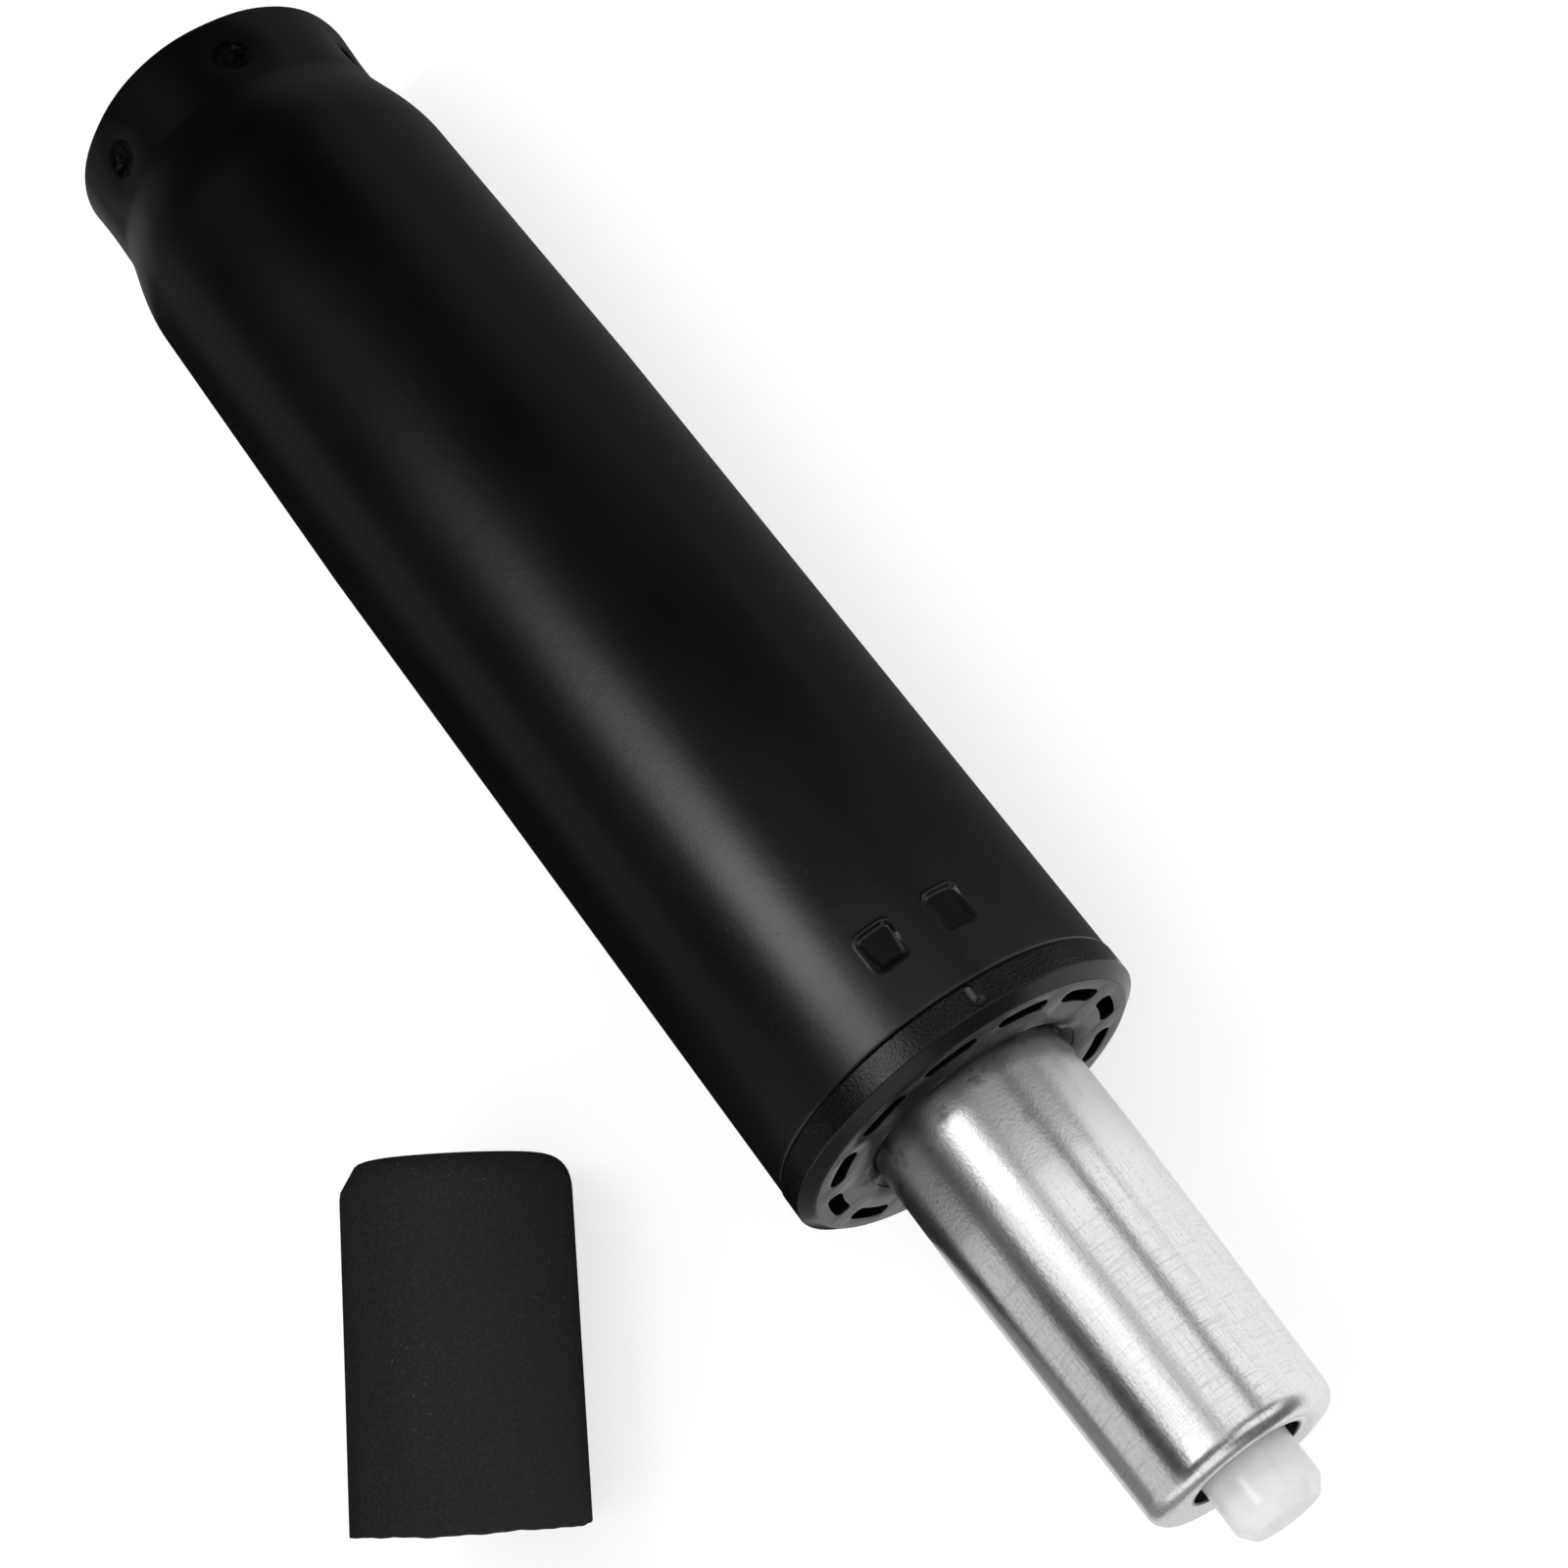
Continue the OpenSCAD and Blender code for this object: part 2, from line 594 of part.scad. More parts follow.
outer_tube();
guide_bush();
base_plate();
lower_race();
ball_cage();
bearing_balls();
upper_race();
piston_rod();
clip_washer();
retaining_clip();
bumper_washer();
rubber_bumper();
piston();
piston_seal();
piston_nut();
pressure_tube();
inner_tube();
seal_washer();
rod_seal();
rod_guide();
valve_body();
valve_o_rings();
pin_o_ring();
release_button();
valve_pin();
protective_cap();
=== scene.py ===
import json
import math

import bmesh
import bpy
import numpy as np
from mathutils import Matrix, Quaternion, Vector


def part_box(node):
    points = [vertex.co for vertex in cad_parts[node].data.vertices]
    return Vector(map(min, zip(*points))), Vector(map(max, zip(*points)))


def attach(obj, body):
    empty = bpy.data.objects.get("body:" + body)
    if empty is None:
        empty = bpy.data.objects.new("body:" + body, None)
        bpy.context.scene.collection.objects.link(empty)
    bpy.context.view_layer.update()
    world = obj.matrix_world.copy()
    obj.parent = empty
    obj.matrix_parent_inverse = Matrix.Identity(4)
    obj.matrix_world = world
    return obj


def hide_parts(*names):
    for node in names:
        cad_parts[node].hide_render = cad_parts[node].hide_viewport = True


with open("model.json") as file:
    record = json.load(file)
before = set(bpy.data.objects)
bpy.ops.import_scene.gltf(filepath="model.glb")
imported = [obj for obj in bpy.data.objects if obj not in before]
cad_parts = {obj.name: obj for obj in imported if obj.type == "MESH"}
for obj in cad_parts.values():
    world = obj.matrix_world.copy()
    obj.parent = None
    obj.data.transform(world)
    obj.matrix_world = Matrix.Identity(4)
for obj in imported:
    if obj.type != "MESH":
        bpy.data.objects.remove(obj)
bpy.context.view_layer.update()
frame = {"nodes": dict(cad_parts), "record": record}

MM = 0.001
MERGE = 0.0005 * MM

# Places that the frame gives
MOUTH_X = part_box("outer_tube")[1].x
BUSH_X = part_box("guide_bush")[0].x
FACE_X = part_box("guide_bush")[1].x
SPRING_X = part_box("pressure_tube")[0].x
SPRING_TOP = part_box("pressure_tube")[1].x
BUTTON_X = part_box("release_button")[0].x
BUTTON_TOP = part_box("release_button")[1].x
FLOOR_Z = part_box("protective_cap")[0].z

# Stand tube: CLOCKING is the angle that the stakes, the lock pockets, the slots and the key count from
CLOCKING = 38.1
TUBE_R = 25 * MM
TUBE_WALL = 1.5 * MM
NECK_R = 21.85 * MM
NECK_LEN = 12 * MM
TAPER_X = 25.5 * MM
TAPER_END = 72 * MM
TAPER_SMALL_R = 24.229 * MM
SWAGE_EASE = 0.75
RIM_ROUND = 0.4 * MM
STAKE_COUNT = 6
STAKE_TURN = 1.0
STAKE_X = 6.5 * MM
STAKE_R = 3.1 * MM
STAKE_DEPTH = 1.3 * MM
DENT_R = 5 * MM
DENT_DEPTH = 1 * MM
LOCK_LEN = 5.9 * MM
LOCK_W = 4.8 * MM
LOCK_ROUND = 1 * MM
LOCK_X = MOUTH_X - 12.25 * MM
LOCK_DEPTH = 0.6 * MM
LOCK_LIP = 0.16 * MM
LOCK_FLANK = 0.4 * MM
LOCK_RUNOUT = 1.5 * MM
LOCK_SHEAR = 0.1 * MM
LOCK_BURR = 0.05 * MM
LOCK_TURN = -0.7
LOCK_ASIDE = 11.3
LOCK_ANGLES = [side + LOCK_TURN + half * LOCK_ASIDE for side in (0, 180) for half in (-1, 1)]

# Guide bush
COLLAR_R = 25.15 * MM
BEVEL_H = 1.3 * MM
FACE_R = 23.35 * MM
FACE_T = 3 * MM
SHELL_R = 23.45 * MM
SHELL_IN_R = 21.65 * MM
SLEEVE_R = 16.46 * MM
BORE_R = 14.06 * MM
BORE_BEVEL = 1.3 * MM
SLOT_COUNT = 12
SLOT_R = 20.45 * MM
SLOT_W = 2.1 * MM
SLOT_LEN = 7.5 * MM
RIB_W = 2.2 * MM
KEY_W = 1.6 * MM
KEY_LEN = 3.2 * MM
KEY_RISE = 0.42 * MM
KEY_GROOVE = 0.05 * MM

# Gas spring and button
SPRING_R = 14 * MM
SPRING_WALL = 2 * MM
ROLL_R = 2.4 * MM
CONE_LEN = 36.8 * MM
CONE_SMALL_R = 13.076 * MM
GROUND_LEN = 31.2 * MM
LINE_HALF = 0.12 * MM
LINE_DEPTH = 0.004 * MM
LINE_HOLD = 0.5 * MM
END_HOLE_R = 7.6 * MM
LIP_HOLE_R = 7.5 * MM
BUTTON_R = 6.1 * MM
BUTTON_BEVEL = 1.9 * MM
BUTTON_TIP_R = 4.6 * MM

# Cap, lying on its side: place of its mouth on the floor, and where its closed end points
CAP_X = 176.5 * MM
CAP_Y = -96.2 * MM
CAP_HEADING = 144.1
CAP_LEN = 49.6 * MM
CAP_WALL = 2.2 * MM
CAP_MOUTH_R = 16.6 * MM
CAP_END_R = 15.676 * MM
CAP_ROUND = 5.1 * MM
CAP_OVAL = 0.15 * MM
CAP_CUT = 0.09 * MM
WORN_AT = 62
WORN_LEN = 4.4 * MM
WORN_IN = 2.6 * MM

# Camera: the lens is 3450 px on the photo's 1600 px
CAMERA_AT = Vector((305.9, 130.5, 376)) * MM
CAMERA_AIM = Vector((136.1, 6.3, 0)) * MM
CAMERA_ROLL = -77.86
CAMERA_SENSOR = 36
CAMERA_LENS = 77.625

# Lamp, pale floor and background
LAMP_AT = Vector((-0.041, -0.055, 0.557))
LAMP_AIM = Vector((-0.041, 0, 0))
LAMP_WIDTH = 0.087
LAMP_LENGTH = 0.229
LAMP_POWER = 0.51
FLOOR_HALF = 6.0
FLOOR_GLOW = (0.72, 0.45, 0.0)
FLOOR_COLOR = (0.4, 0.55, 0.8)
WORLD_LEVEL = (1.0, 1.0, 0.83)

# Cards bent about the column's axis: name, grey level, x from and to, angle from and to, distance
TENT_R = 0.64
CARD_R = 0.6
ARCHES = [
    ("tent_floor", 0.02, -0.45, 0.03, -92, -84, TENT_R),
    ("tent_left", 0.21, -0.45, -0.09, -84, -58, TENT_R),
    ("tent_mouth", 0.03, -0.09, 0.03, -84, -58, TENT_R),
    ("tent_upper", 0.01, -0.45, 0.03, -58, -16, TENT_R),
    ("tent_top", 0.01, -0.45, 0.015, -16, 12, TENT_R),
    ("tent_middle", 0.01, -0.45, -0.015, 12, 66, TENT_R),
    ("tent_right_base", 0.18, -0.45, -0.27, 66, 98, TENT_R),
    ("tent_right", 0.1, -0.27, 0.0, 66, 98, TENT_R),
    ("card_patch", 0.01, -0.055, 0.085, 22, 92, 0.3),
    ("card_far_left", 0.6, 0.03, 0.5, -92, -52, CARD_R),
    ("card_left", 0.2, 0.03, 0.085, -52, -28, CARD_R),
    ("card_left_tip", 0.02, 0.085, 0.5, -52, -26, CARD_R),
    ("card_top", 1.15, 0.01, 0.3, -8, 5, 0.57),
    ("card_glint", 4.0, 0.2335, 0.2378, -18, -4, 0.05),
    ("card_middle", 0.45, 0.0, 0.09, 15, 23, CARD_R),
    ("card_middle_tip", 0.5, 0.09, 0.5, 9, 24, CARD_R),
    ("card_right", 0.2, 0.0, 0.5, 57, 68, CARD_R),
    ("card_front", 0.15, 0.33, 0.55, -60, 80, 0.9),
    ("card_far_front", 0.1, 0.55, 1.1, -60, 30, 0.9),
    ("card_bead", 0.05, 0.255, 0.4, 25, 86, 0.58),
]

# Cards across the axis: name, grey level, angle from and to, x, reach
BASE_WALL = (-0.45, 1.9)
FRONT_WALL = (1.2, 0.8)
WALLS = [
    ("wall_left", 0.08, -90, -50, *BASE_WALL),
    ("wall_behind", 0.012, -50, 60, *BASE_WALL),
    ("wall_right", 0.06, 60, 90, *BASE_WALL),
    ("wall_front", 0.1, 6, 90, *FRONT_WALL),
]

# Cards on the floor: name, grey level, corners (x, y)
FLOOR_CARDS = [
    ("floor_left", 0.01, [(0.185, 0), (0.01, 0), (-0.015, -0.055), (-0.045, -0.09), (-0.1, -0.14),
                          (-0.25, -0.27), (-0.4, -0.8), (0.185, -0.8)]),
    ("floor_base", 0.26, [(0.01, 0), (-0.015, -0.055), (-0.045, -0.09), (-0.075, -0.117), (-0.4, -0.117),
                          (-0.4, 0)]),
    ("floor_base_far", 0.15, [(-0.075, -0.117), (-0.1, -0.14), (-0.25, -0.27), (-0.4, -0.27),
                              (-0.4, -0.117)]),
    ("floor_tip", 0.7, [(0.185, -0.05), (0.27, -0.05), (0.27, 0), (0.185, 0)]),
    ("floor_tip_far", 0.2, [(0.185, -0.4), (0.27, -0.4), (0.27, -0.05), (0.185, -0.05)]),
    # Painted shadow: the next card darkens the floor in reflections where the column's shadow falls beside
    # it.
    ("floor_right", 0.14, [(-0.4, 0), (0.176, 0), (0.176, 0.05), (0.163, 0.078), (0.135, 0.2), (0.135, 0.6),
                           (-0.4, 0.6)]),
    ("floor_front", 0.25, [(0.27, -0.6), (0.9, -0.6), (0.9, 0), (0.27, 0)]),
    ("floor_front_right", 0.12, [(0.27, 0), (0.9, 0), (0.9, 0.6), (0.27, 0.6)]),
]


def ease(value, low, high):
    """Smooth step from 0 at low to 1 at high."""
    t = np.clip((value - low) / (high - low), 0, 1)
    return t * t * (3 - 2 * t)


def turn(degrees):
    """Angle brought into -180 to 180 degrees."""
    return (degrees + 180) % 360 - 180


def box_distance(u, w, length, width, corner):
    """Distance outside a rounded rectangle, negative inside it."""
    du = np.abs(u) - (length / 2 - corner)
    dw = np.abs(w) - (width / 2 - corner)
    outside = np.hypot(np.maximum(du, 0), np.maximum(dw, 0))
    return outside + np.minimum(np.maximum(du, dw), 0) - corner


def rounded(corners, steps=5):
    """Closed outline of (x, r, rounding) corners, each eased by its rounding and held by a close point."""
    side_share, hold_share, hold = 0.42, 0.49, 1.3
    points = []
    for i, (x, r, rounding) in enumerate(corners):
        here = Vector((x, r))
        before = Vector(corners[i - 1][:2]) - here
        after = Vector(corners[(i + 1) % len(corners)][:2]) - here
        if rounding == 0:
            points.append(here)
            continue
        start = here + before.normalized() * min(rounding, before.length * side_share)
        end = here + after.normalized() * min(rounding, after.length * side_share)
        points.append(here + before.normalized() * min(rounding * hold, before.length * hold_share))
        for k in range(steps + 1):
            t = k / steps
            points.append(start * (1 - t) ** 2 + here * 2 * t * (1 - t) + end * t * t)
        points.append(here + after.normalized() * min(rounding * hold, after.length * hold_share))
    return np.array([tuple(p) for p in points])


def refined(outline, step, low_x, high_x, low_r):
    """Outline with its stretches between low_x and high_x, outside low_r, cut to the step."""
    points = []
    for i, here in enumerate(outline):
        after = outline[(i + 1) % len(outline)]
        middle = (here + after) / 2
        inside = low_x < middle[0] < high_x and middle[1] > low_r
        count = max(1, math.ceil(np.linalg.norm(after - here) / step)) if inside else 1
        points += [here + (after - here) * k / count for k in range(count)]
    return np.array(points)


def circle(step, centres=(), reach=0.0, fine=1.0):
    """Angles around the axis in radians: every step degrees, and every fine degrees near the centres."""
    near = [c + offset for c in centres for offset in np.arange(-reach, reach + fine / 2, fine)]
    far = [a for a in np.arange(0, 360, step) if all(abs(turn(a - c)) > reach + step / 3 for c in centres)]
    return np.radians(sorted({round(a % 360, 4) for a in near + far}))


def add_mesh(name, points, faces):
    """Object of a new mesh from points and faces."""
    mesh = bpy.data.meshes.new(name)
    mesh.from_pydata(points, [], faces)
    return add_object(name, mesh)


def add_object(name, mesh, crease=40):
    """Object of a mesh, smooth-shaded with its normals outwards and edges sharper than crease kept."""
    bm = bmesh.new()
    bm.from_mesh(mesh)
    bmesh.ops.remove_doubles(bm, verts=bm.verts, dist=MERGE)
    bmesh.ops.recalc_face_normals(bm, faces=bm.faces)
    bm.to_mesh(mesh)
    bm.free()
    mesh.shade_smooth()
    mesh.set_sharp_from_angle(angle=math.radians(crease))
    piece = bpy.data.objects.new(name, mesh)
    bpy.context.scene.collection.objects.link(piece)
    return piece


def turned(name, outline, angles, shape=None, closed=True):
    """Skin turned about the X axis from (x, r) points; shape(x, r, angle) may move its points."""
    x = np.repeat(outline[:, :1], len(angles), axis=1)
    r = np.repeat(outline[:, 1:], len(angles), axis=1)
    around = np.repeat(angles[None, :], len(outline), axis=0)
    if shape:
        x, r = shape(x, r, around)
    points = np.stack([x, r * np.sin(around), r * np.cos(around)], axis=-1).reshape(-1, 3)
    rows, columns = x.shape
    faces = []
    for i in range(rows if closed else rows - 1):
        low, high = i * columns, (i + 1) % rows * columns
        for j in range(columns):
            after = (j + 1) % columns
            faces.append((low + j, low + after, high + after, high + j))
    return add_mesh(name, points.tolist(), faces)


def dress(piece, body, slot, *replaced):
    """Finishes a piece: its material, the body that it rides on and the nodes that it stands for."""
    piece.data.materials.clear()
    piece.data.materials.append(finishes[slot])
    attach(piece, body)
    if replaced:
        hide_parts(*replaced)
    return piece


class Finish:
    """Node material around one Principled shader, in the piece's own coordinates in metres."""

    def __init__(self, slot, name=None, **values):
        self.material = bpy.data.materials.new(name or slot)
        self.material.use_nodes = True
        self.nodes = self.material.node_tree.nodes
        self.shader = self.nodes["Principled BSDF"]
        color = next(m["base_color"] for m in frame["record"]["materials"] if m["slot"] == slot)
        self.color = color
        self.shader.inputs["Base Color"].default_value = (*color, 1)
        for key, value in values.items():
            self.shader.inputs[key.replace("_", " ").title().replace("Ior", "IOR")].default_value = value
        self.at = self.add("ShaderNodeTexCoord").outputs["Object"]
        self.normal = None

    def add(self, kind, **links):
        """New node; links fills its inputs by index, written as i0, i1 and so on."""
        node = self.nodes.new(kind)
        for key, value in links.items():
            self.fill(node.inputs[int(key[1:])], value)
        return node

    def fill(self, socket, value):
        """Links an output to the socket, or sets a constant on it."""
        if isinstance(value, bpy.types.NodeSocket):
            self.material.node_tree.links.new(value, socket)
        else:
            socket.default_value = value

    def math(self, operation, first, second=0.0):
        node = self.add("ShaderNodeMath", i0=first, i1=second)
        node.operation = operation
        return node.outputs[0]

    def axes(self):
        """The piece's x, y and z."""
        split = self.add("ShaderNodeSeparateXYZ", i0=self.at)
        return split.outputs[0], split.outputs[1], split.outputs[2]

    def radius(self):
        """Distance from the column's axis."""
        _, y, z = self.axes()
        return self.math("SQRT", self.math("ADD", self.math("POWER", y, 2.0), self.math("POWER", z, 2.0)))

    def unrolled(self, along, around):
        """Coordinates on the turned surface: along the axis per metre, and around it per turn."""
        x, y, z = self.axes()
        angle = self.math("ARCTAN2", y, z)
        scaled = self.math("MULTIPLY", angle, around / math.tau)
        return self.add("ShaderNodeCombineXYZ", i0=self.math("MULTIPLY", x, along), i1=scaled).outputs[0]

    def noise(self, scale, detail=4.0, at=None, roughness=0.55):
        node = self.add("ShaderNodeTexNoise")
        self.fill(node.inputs["Vector"], at or self.at)
        node.inputs["Scale"].default_value = scale
        node.inputs["Detail"].default_value = detail
        node.inputs["Roughness"].default_value = roughness
        return node.outputs[0]

    def remap(self, value, low, high, to_low=0.0, to_high=1.0):
        """Value brought from low to high into to_low to to_high, and held there."""
        return self.add("ShaderNodeMapRange", i0=value, i1=low, i2=high, i3=to_low, i4=to_high).outputs[0]

    def tint(self, share, low, high):
        """Colour that runs from low to high times the record's colour."""
        node = self.add("ShaderNodeMix")
        node.data_type = "RGBA"
        self.fill(node.inputs["Factor"], share)
        sockets = [s for s in node.inputs if s.type == "RGBA"]
        for socket, factor in zip(sockets, (low, high)):
            socket.default_value = (*[c * factor for c in self.color], 1)
        self.fill(self.shader.inputs["Base Color"], node.outputs[2])

    def rough(self, value):
        self.fill(self.shader.inputs["Roughness"], value)

    def bump(self, height, depth):
        """Relief of that depth in metres, on top of any relief before it."""
        node = self.add("ShaderNodeBump")
        node.inputs["Strength"].default_value = 1.0
        node.inputs["Distance"].default_value = depth
        self.fill(node.inputs["Height"], height)
        if self.normal:
            self.fill(node.inputs["Normal"], self.normal)
        self.normal = node.outputs[0]
        self.fill(self.shader.inputs["Normal"], self.normal)


def tube_paint():
    """Satin black paint: orange peel, faint drifts in gloss, dust and handling marks."""
    f = Finish("tube_paint", specular_ior_level=0.6)
    drift = f.noise(35, 3)
    marks = f.noise(1, 5, f.unrolled(60, 900), 0.7)
    dust = f.remap(f.noise(2600, 2), 0.72, 0.8)
    gloss = f.math("ADD", f.remap(drift, 0.3, 0.7, 0.3, 0.35), f.remap(marks, 0.6, 0.75, 0.0, 0.05))
    f.rough(f.math("ADD", gloss, f.math("MULTIPLY", dust, 0.2)))
    f.tint(f.math("MAXIMUM", dust, f.remap(drift, 0.35, 0.75, 0.0, 0.06)), 0.2, 4.0)
    f.bump(f.noise(520, 2), 0.012 * MM)
    f.bump(f.noise(2300, 2), 0.008 * MM)
    f.bump(dust, 0.01 * MM)
    return f.material


def shaded_pit_paint():
    """Paint in the punched pits: torn and dull, with its gloss turned down as painted shade in the pits."""
    f = Finish("tube_paint", "tube_paint_pits_painted_shade", specular_ior_level=0.09)
    torn = f.noise(520, 4)
    f.rough(f.remap(torn, 0.3, 0.7, 0.26, 0.4))
    f.tint(f.remap(torn, 0.4, 0.7), 0.2, 1.0)
    f.bump(torn, 0.5 * MM)
    return f.material


def bush_plastic():
    """Moulded plastic: spark-eroded grain on the collar's side, smoother bevel and face."""
    f = Finish("bush_plastic", specular_ior_level=0.35)
    x, _, _ = f.axes()
    near = f.remap(f.radius(), BORE_R + 0.5 * MM, BORE_R + 4 * MM, 1.0, 0.0)
    grease = f.math("MULTIPLY", near, f.remap(f.noise(230, 4), 0.4, 0.55))
    side = f.remap(x, FACE_X - BEVEL_H, FACE_X - BEVEL_H - 0.15 * MM)
    grain = f.noise(2600, 3)
    gloss = f.math("ADD", f.remap(f.noise(60, 3), 0.3, 0.7, 0.2, 0.25), f.math("MULTIPLY", side, 0.03))
    f.rough(f.math("ADD", gloss, f.math("MULTIPLY", grease, 0.5)))
    f.tint(f.remap(grain, 0.35, 0.7), 0.4, 1.1)
    f.bump(f.math("MULTIPLY", grain, f.remap(side, 0, 1, 0.25, 1.0)), 0.055 * MM)
    return f.material


def spring_steel():
    """Drawn bright steel: grain, a ground and crosshatched seat cone, grime and an oily film with painted
    shade at the bush, painted shade in the end hole.
    """
    f = Finish("spring_steel", metallic=1.0)
    x, _, _ = f.axes()
    # Painted shade: the steel in and around the end hole is darkened.
    hole_painted_shade = f.remap(f.radius(), END_HOLE_R + 0.15 * MM, END_HOLE_R + 0.6 * MM, 1.0, 0.0)
    ragged = f.math("ADD", x, f.remap(f.noise(1, 3, f.unrolled(60, 24)), 0.3, 0.7, -4 * MM, 4 * MM))
    ground = f.remap(ragged, SPRING_TOP - GROUND_LEN - 3 * MM, SPRING_TOP - GROUND_LEN + 5 * MM)
    rolled = f.remap(x, SPRING_TOP - ROLL_R - 0.6 * MM, SPRING_TOP - ROLL_R + 0.4 * MM)
    cone = f.math("SUBTRACT", ground, rolled)
    drawn = f.noise(1, 4, f.unrolled(90, 420), 0.6)
    hatch = f.noise(1, 3, f.unrolled(3000, 18), 0.6)
    flecks = f.noise(2200, 3, roughness=0.65)
    away = f.math("ABSOLUTE", f.math("SUBTRACT", x, FACE_X))
    # Painted shade: the steel is darkened towards the bush face, partly as an oily film, partly standing in
    # for the bush's shade.
    oily_film_and_painted_shade = f.remap(away, 1 * MM, 20 * MM, 0.56, 0.0)
    near = f.remap(away, 1 * MM, 16 * MM, 1.0, 0.0)
    grime = f.math("MULTIPLY", f.remap(f.noise(300, 5), 0.36, 0.72), near)
    lines = f.math("MULTIPLY", f.remap(f.math("MAXIMUM", drawn, hatch), 0.52, 0.72, 0.0, 0.26), cone)
    soot = f.remap(f.math("MULTIPLY", drawn, flecks), 0.24, 0.42, 0.0, 0.3)
    dark = f.math("MAXIMUM", f.math("MAXIMUM", oily_film_and_painted_shade, grime), f.math("MAXIMUM", lines, soot))
    # Base colour darkened by marks and grime, and by the painted shade at the bush and in the end hole.
    f.tint(f.math("MAXIMUM", dark, hole_painted_shade), 1.41, 0.1)
    worked = f.math("MULTIPLY", f.remap(hatch, 0.4, 0.7, 0.0, 0.05), cone)
    worked = f.math("ADD", worked, f.math("MULTIPLY", rolled, 0.08))
    worked = f.math("ADD", worked, f.math("MULTIPLY", oily_film_and_painted_shade, 0.22))
    f.rough(f.math("ADD", f.remap(f.noise(140, 4), 0.3, 0.7, 0.17, 0.21), worked))
    f.bump(drawn, 0.003 * MM)
    f.bump(f.math("MULTIPLY", hatch, cone), 0.008 * MM)
    f.bump(flecks, 0.02 * MM)
    return f.material


def button_nylon():
    """Natural nylon: milky, with a soft sheen and faint flow marks."""
    f = Finish("button_nylon", subsurface_weight=0.7, subsurface_scale=2.5 * MM)
    f.shader.inputs["Subsurface Radius"].default_value = (1.0, 1.0, 0.97)
    flow = f.noise(260, 3)
    f.tint(f.remap(flow, 0.3, 0.7), 1.1, 1.16)
    f.rough(f.remap(flow, 0.3, 0.7, 0.07, 0.1))
    f.bump(f.noise(700, 3), 0.008 * MM)
    return f.material


def cap_vinyl():
    """Matt dipped vinyl: fine grain with scattered pale specks, and painted light on the side towards the
    column.
    """
    f = Finish("cap_vinyl", specular_ior_level=0.12)
    grain = f.noise(2400, 3)
    specks = f.math("MULTIPLY", f.remap(f.noise(1900, 2), 0.66, 0.74), f.remap(f.noise(60, 2), 0.45, 0.65))
    x, y, _ = f.axes()
    aside = math.radians(CAP_HEADING - 90)
    side = f.math("ADD", f.math("MULTIPLY", f.math("SUBTRACT", x, CAP_X), math.cos(aside)),
                  f.math("MULTIPLY", f.math("SUBTRACT", y, CAP_Y), math.sin(aside)))
    # Painted light: the side facing the column is lightened, against the shade that the column casts on it.
    light_side_painted = f.remap(side, -2 * MM, CAP_MOUTH_R, 0.0, 0.2)
    speckled = f.math("MAXIMUM", specks, f.remap(grain, 0.4, 0.9, 0.0, 0.3))
    f.tint(f.math("ADD", speckled, light_side_painted), 0.75, 4.0)
    f.rough(f.remap(f.noise(90, 3), 0.3, 0.7, 0.62, 0.74))
    f.bump(grain, 0.03 * MM)
    f.bump(f.noise(170, 2), 0.05 * MM)
    return f.material


def metal(slot, roughness, lines=900.0, depth=0.004 * MM, metallic=1.0):
    """Turned or ground metal: rings about the axis, clouds in the gloss and a little tarnish."""
    f = Finish(slot, metallic=metallic)
    rings = f.noise(1, 3, f.unrolled(lines * 4, 25), 0.6)
    cloud = f.noise(180, 4)
    f.rough(f.math("ADD", f.remap(cloud, 0.3, 0.7, roughness - 0.06, roughness + 0.06),
                   f.remap(rings, 0.5, 0.75, 0.0, 0.08)))
    f.tint(f.remap(f.noise(420, 5), 0.45, 0.75), 1.08, 0.7)
    f.bump(rings, depth)
    return f.material


def moulded(slot, roughness):
    """Rubber or plastic: fine grain, uneven gloss and a dusting of lighter specks."""
    f = Finish(slot, specular_ior_level=0.4)
    grain = f.noise(2200, 3)
    f.rough(f.remap(f.noise(120, 3), 0.3, 0.7, roughness - 0.08, roughness + 0.08))
    f.tint(f.remap(grain, 0.4, 0.8), 0.8, 1.5)
    f.bump(grain, 0.015 * MM)
    return f.material


finishes = {
    "tube_paint": tube_paint(),
    "bush_plastic": bush_plastic(),
    "plated_steel": metal("plated_steel", 0.4, metallic=0.5),
    "bearing_steel": metal("bearing_steel", 0.16),
    "cage_plastic": moulded("cage_plastic", 0.45),
    "rod_chrome": metal("rod_chrome", 0.12, 2000.0, 0.001 * MM),
    "spring_clip": metal("spring_clip", 0.38),
    "seal_rubber": moulded("seal_rubber", 0.6),
    "turned_aluminium": metal("turned_aluminium", 0.28),
    "spring_steel": spring_steel(),
    "guide_plastic": moulded("guide_plastic", 0.5),
    "button_nylon": button_nylon(),
    "cap_vinyl": cap_vinyl(),
}


def tube_radius(x):
    """Outside radius of the stand tube: neck, swage, base taper and barrel, with both ends rounded."""
    share = np.clip((x - NECK_LEN) / (TAPER_X - NECK_LEN), 0, 1)
    swage = NECK_R + (TAPER_SMALL_R - NECK_R) * (1 - np.cos(math.pi * share**SWAGE_EASE)) / 2
    taper = TAPER_SMALL_R + (TUBE_R - TAPER_SMALL_R) * np.clip((x - TAPER_X) / (TAPER_END - TAPER_X), 0, 1)
    into_end = np.clip(RIM_ROUND - np.minimum(x, MOUTH_X - x), 0, RIM_ROUND)
    return np.where(x < TAPER_X, swage, taper) - RIM_ROUND + np.sqrt(RIM_ROUND**2 - into_end**2)


